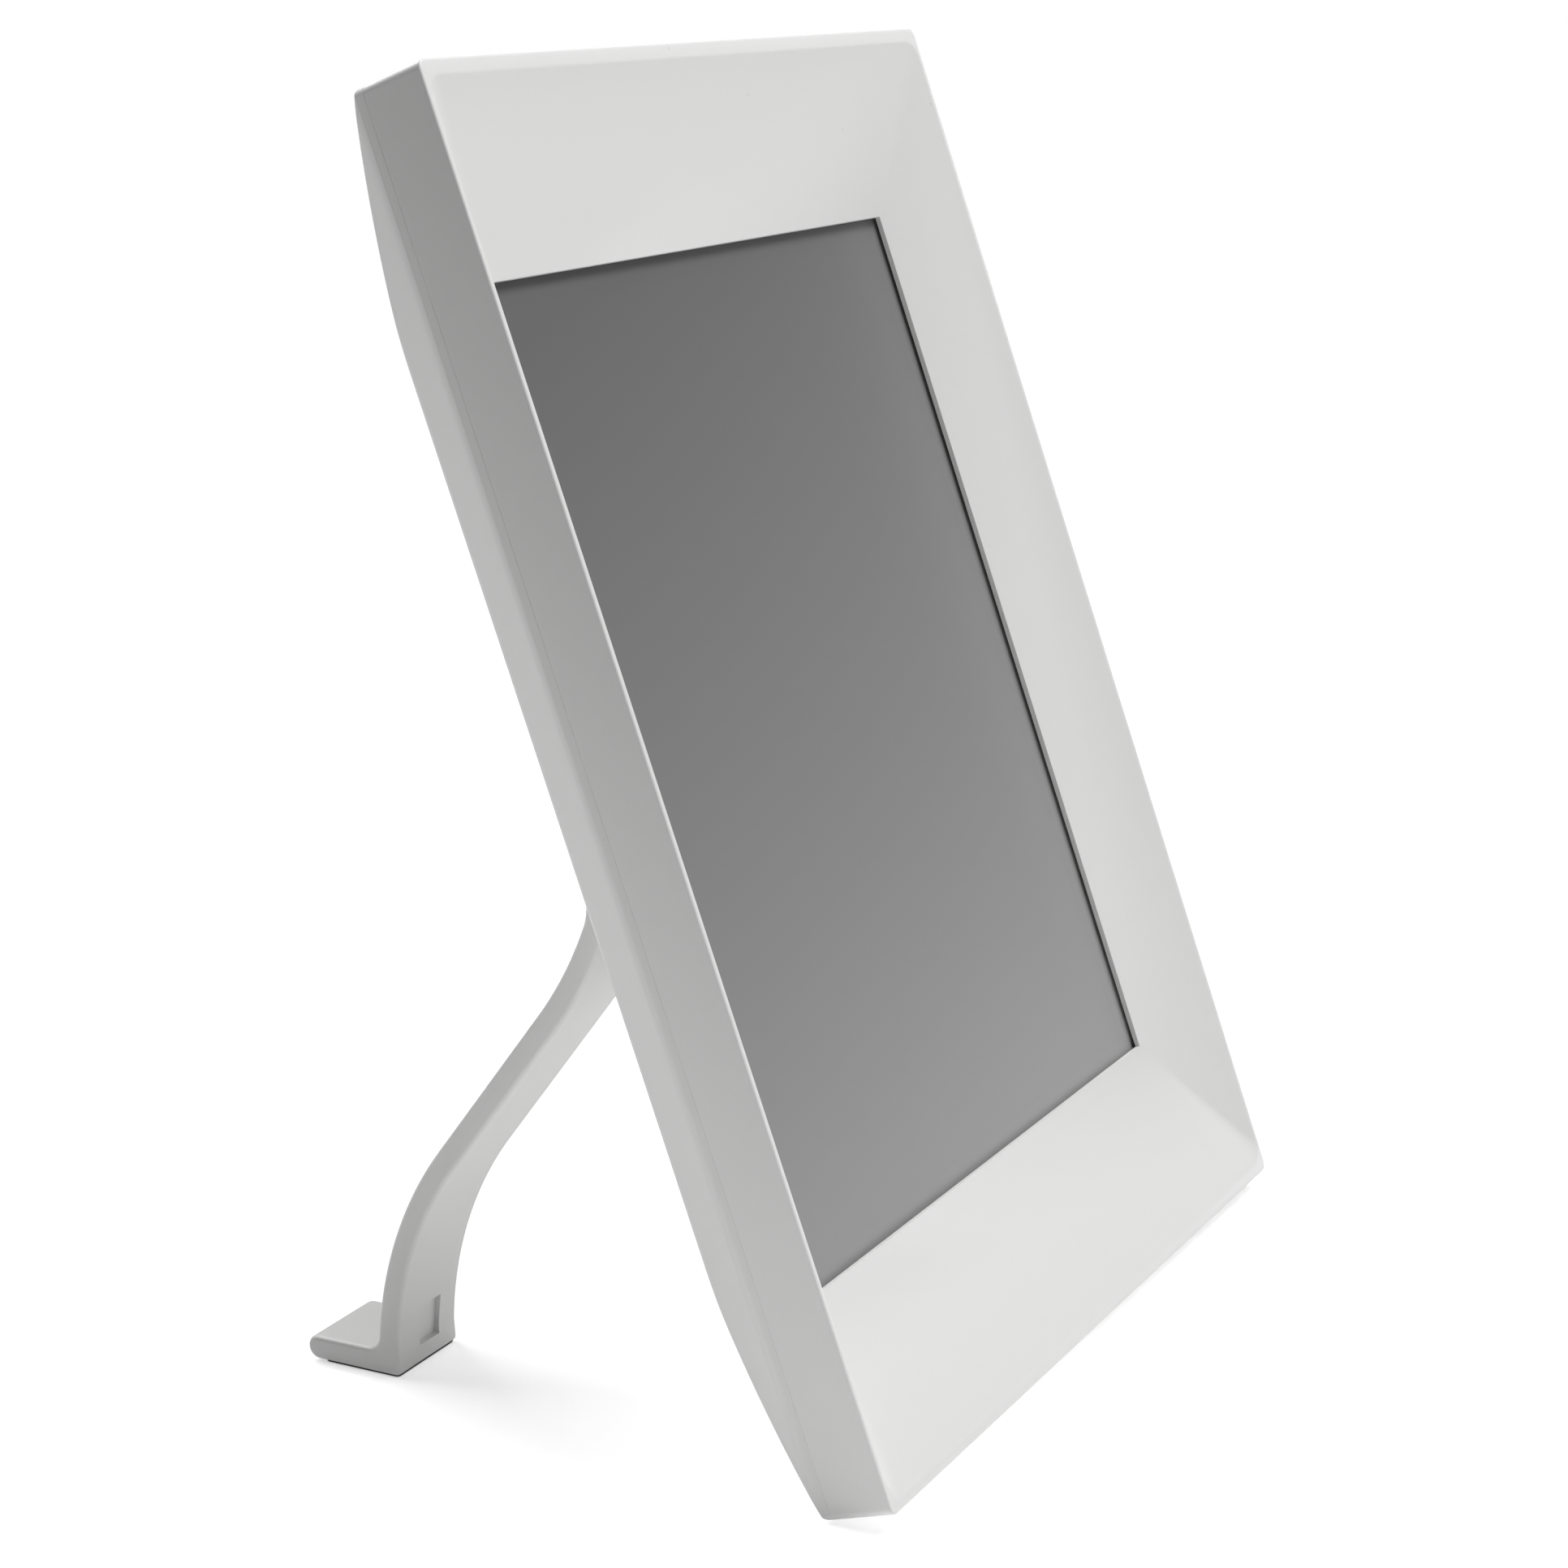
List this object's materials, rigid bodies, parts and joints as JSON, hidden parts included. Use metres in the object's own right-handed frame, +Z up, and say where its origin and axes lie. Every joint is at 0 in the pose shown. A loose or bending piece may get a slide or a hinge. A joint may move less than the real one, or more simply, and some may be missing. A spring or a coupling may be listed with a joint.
{
  "type": "digital photo frame",
  "caption": "Upright digital photo frame with a deep sloping white border, a recessed grey screen and a curved rear stand that turns on a hub.",
  "frame": {"origin": "centre of the bounding box at table level, under the leaning frame", "axes": "+Z up, the screen faces -Y, +X to the viewer's right"},
  "size_m": [0.196, 0.1614, 0.2859],
  "materials": {
    "shell_white": "satin moulded white plastic",
    "cover_white": "white plastic with a fine moulded grain",
    "stand_white": "satin white plastic",
    "button_white": "satin white plastic",
    "screen_grey": "anti-glare display surface, switched off",
    "foam_black": "closed-cell foam",
    "rubber_grey": "soft rubber",
    "steel": "plain pressed steel",
    "aluminium": "pressed sheet",
    "spring_metal": "spring strip",
    "clear_plastic": "clear moulded light guide",
    "led_white": "LED bar",
    "board_green": "solder mask on glass-fibre board",
    "chip_black": "moulded chip packages",
    "connector_ivory": "moulded connector",
    "cable_white": "flat cable"
  },
  "bodies": {
    "housing": {"front_bezel": "shell_white", "rear_cover": "cover_white", "window_gasket": "foam_black", "screen_glass": "screen_grey", "display_frame": "steel", "light_guide": "clear_plastic", "led_strip": "led_white", "backlight_tray": "aluminium", "display_brackets": "steel", "bracket_screws": "steel", "main_board": "board_green", "processor": "chip_black", "memory_chips": "chip_black", "cable_connector": "connector_ivory", "screen_cable": "cable_white", "card_reader": "steel", "usb_socket": "steel", "power_socket": "chip_black", "push_switches": "chip_black", "slide_switch": "chip_black", "board_screws": "steel", "cover_screws": "steel", "detent_spring": "spring_metal"},
    "stand": {"stand_hub": "stand_white", "hub_retainer": "steel", "hub_screws": "steel", "stand_leg": "stand_white", "leg_screw": "steel", "foot_pad": "rubber_grey"},
    "power_slider": {"power_slider": "button_white"},
    "menu_button": {"menu_button": "button_white"},
    "back_button": {"back_button": "button_white"},
    "previous_button": {"previous_button": "button_white"},
    "next_button": {"next_button": "button_white"},
    "enter_button": {"enter_button": "button_white"}
  },
  "joints": [
    {"name": "stand_swivel", "type": "hinge", "parent": "housing", "child": "stand", "pos_m": [-0.07, -0.00827, 0.13634], "axis": [0, -0.9563, 0.2924], "range_deg": [0, 90]},
    {"name": "menu_press", "type": "slide", "parent": "housing", "child": "menu_button", "axis": [0, -0.9563, 0.2924], "range_m": [0, 0.0005], "stiffness_N_per_m": 400},
    {"name": "back_press", "type": "slide", "parent": "housing", "child": "back_button", "axis": [0, -0.9563, 0.2924], "range_m": [0, 0.0005], "stiffness_N_per_m": 400},
    {"name": "previous_press", "type": "slide", "parent": "housing", "child": "previous_button", "axis": [0, -0.9563, 0.2924], "range_m": [0, 0.0005], "stiffness_N_per_m": 400},
    {"name": "next_press", "type": "slide", "parent": "housing", "child": "next_button", "axis": [0, -0.9563, 0.2924], "range_m": [0, 0.0005], "stiffness_N_per_m": 400},
    {"name": "enter_press", "type": "slide", "parent": "housing", "child": "enter_button", "axis": [0, -0.9563, 0.2924], "range_m": [0, 0.0005], "stiffness_N_per_m": 400},
    {"name": "power_slide", "type": "slide", "parent": "housing", "child": "power_slider", "axis": [0, -0.2924, -0.9563], "range_m": [0, 0.003]}
  ]
}
